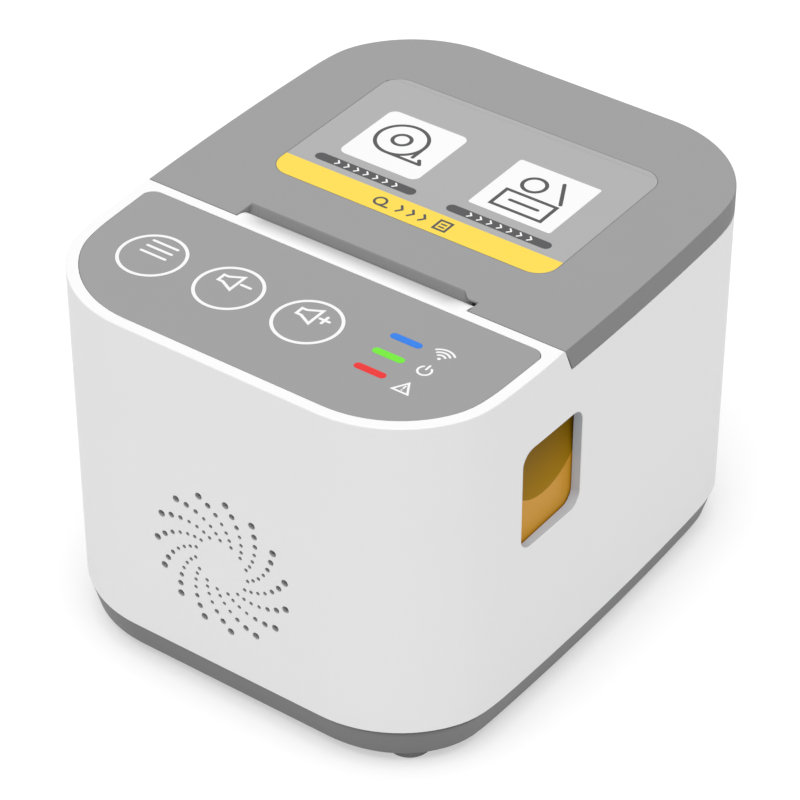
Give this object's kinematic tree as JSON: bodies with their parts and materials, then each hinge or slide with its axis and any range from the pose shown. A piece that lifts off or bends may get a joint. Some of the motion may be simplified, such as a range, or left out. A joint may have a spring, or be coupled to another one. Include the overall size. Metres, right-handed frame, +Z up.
{
  "type": "thermal receipt printer",
  "caption": "Desktop thermal receipt printer for 58 mm paper with flip-up cover, key panel, speaker grille and side release button",
  "frame": {"origin": "on the floor under the middle of the printer", "axes": "+X to the right seen from the front, +Y to the rear, +Z up; the front wall with the speaker faces -Y"},
  "size_m": [0.11, 0.134, 0.092],
  "materials": {
    "white_plastic": "fine matte",
    "panel_grey": "matte film",
    "cover_grey": "fine matte",
    "dark_plastic": "matte",
    "black_plastic": "matte",
    "button_amber": "satin",
    "label_film": "printed film",
    "light_blue": "lit",
    "light_green": "lit",
    "light_red": "lit",
    "foot_rubber": "matte",
    "platen_rubber": "ground",
    "screw_steel": "zinc plated",
    "pin_steel": "ground",
    "motor_steel": "plated",
    "speaker_steel": "plated",
    "speaker_paper": "pressed",
    "circuit_board": "solder mask",
    "head_ceramic": "glazed",
    "sink_aluminium": "extruded",
    "pinion_brass": "turned",
    "gear_plastic": "moulded"
  },
  "bodies": {
    "chassis": {"base_tray": "dark_plastic", "rubber_feet": "foot_rubber", "base_screws": "screw_steel", "main_shell": "white_plastic", "control_panel": "panel_grey", "key_board": "circuit_board", "board_screws": "screw_steel", "key_switches": "black_plastic", "led_chips": "white_plastic", "light_pipe_network": "light_blue", "light_pipe_power": "light_green", "light_pipe_status": "light_red", "speaker_frame": "speaker_steel", "speaker_cone": "speaker_paper", "speaker_magnet": "speaker_steel", "mech_frame": "black_plastic", "mech_screws": "screw_steel", "head_pin": "pin_steel", "head_springs": "pin_steel", "stepper_motor": "motor_steel", "motor_screws": "screw_steel", "idler_pin": "pin_steel", "paper_sensor": "black_plastic", "hinge_pin": "pin_steel", "paper_bin": "dark_plastic", "release_spring": "pin_steel", "latch_pin": "pin_steel", "main_board": "circuit_board", "main_board_screws": "screw_steel", "board_chips": "black_plastic", "capacitors": "motor_steel", "usb_socket": "speaker_steel", "power_jack": "black_plastic", "switch_housing": "black_plastic"},
    "cover": {"cover_shell": "cover_grey", "cover_inner": "dark_plastic", "cover_screws": "screw_steel", "cover_label": "label_film", "platen_bushes": "pinion_brass"},
    "platen": {"platen_rubber": "platen_rubber", "platen_shaft": "pin_steel", "platen_gear": "gear_plastic"},
    "idler": {"idler_gear": "gear_plastic"},
    "rotor": {"motor_shaft": "pin_steel", "motor_pinion": "pinion_brass"},
    "head": {"print_head": "head_ceramic", "heat_sink": "sink_aluminium"},
    "release": {"release_button": "button_amber"},
    "latch": {"latch_lever": "black_plastic"},
    "settings_key": {"key_settings": "panel_grey"},
    "volume_down_key": {"key_volume_down": "panel_grey"},
    "volume_up_key": {"key_volume_up": "panel_grey"},
    "rocker": {"switch_rocker": "black_plastic"}
  },
  "joints": [
    {"name": "cover_hinge", "type": "hinge", "parent": "chassis", "child": "cover", "pos_m": [0, 0.0628, 0.083], "axis": [-1, 0, 0], "range_deg": [0, 90]},
    {"name": "platen_spin", "type": "hinge", "parent": "cover", "child": "platen", "pos_m": [0, -0.01, 0.08], "axis": [1, 0, 0], "continuous": true},
    {"name": "idler_spin", "type": "hinge", "parent": "chassis", "child": "idler", "pos_m": [-0.0356, -0.01, 0.06638], "axis": [1, 0, 0], "continuous": true},
    {"name": "motor_spin", "type": "hinge", "parent": "chassis", "child": "rotor", "pos_m": [-0.0356, -0.00551, 0.05675], "axis": [1, 0, 0], "continuous": true},
    {"name": "head_pivot", "type": "hinge", "parent": "chassis", "child": "head", "pos_m": [0, -0.0192, 0.0635], "axis": [1, 0, 0], "range_deg": [0, 2.5], "stiffness_Nm_per_rad": 1.2, "springref_deg": -8.59, "deforming": ["head_springs"]},
    {"name": "release_push", "type": "slide", "parent": "chassis", "child": "release", "axis": [-1, 0, 0], "range_m": [0, 0.002], "stiffness_N_per_m": 400, "springref_m": -0.002, "deforming": ["release_spring"]},
    {"name": "latch_swing", "type": "hinge", "parent": "chassis", "child": "latch", "pos_m": [0.0454, -0.0155, 0.0692], "axis": [0, 1, 0], "range_deg": [0, 13.5]},
    {"name": "settings_press", "type": "slide", "parent": "chassis", "child": "settings_key", "axis": [0, 0, -1], "range_m": [0, 0.0005], "stiffness_N_per_m": 1500, "springref_m": -0.0005},
    {"name": "volume_down_press", "type": "slide", "parent": "chassis", "child": "volume_down_key", "axis": [0, 0, -1], "range_m": [0, 0.0005], "stiffness_N_per_m": 1500, "springref_m": -0.0005},
    {"name": "volume_up_press", "type": "slide", "parent": "chassis", "child": "volume_up_key", "axis": [0, 0, -1], "range_m": [0, 0.0005], "stiffness_N_per_m": 1500, "springref_m": -0.0005},
    {"name": "power_rock", "type": "hinge", "parent": "chassis", "child": "rocker", "pos_m": [0.016, 0.0631, 0.0231], "axis": [1, 0, 0], "range_deg": [-14, 0]}
  ],
  "couplings": [
    {"joint": "idler_spin", "follows": "platen_spin", "ratio": -0.8},
    {"joint": "motor_spin", "follows": "platen_spin", "ratio": 2},
    {"joint": "latch_swing", "follows": "release_push", "rad_per_m": 116.28}
  ]
}
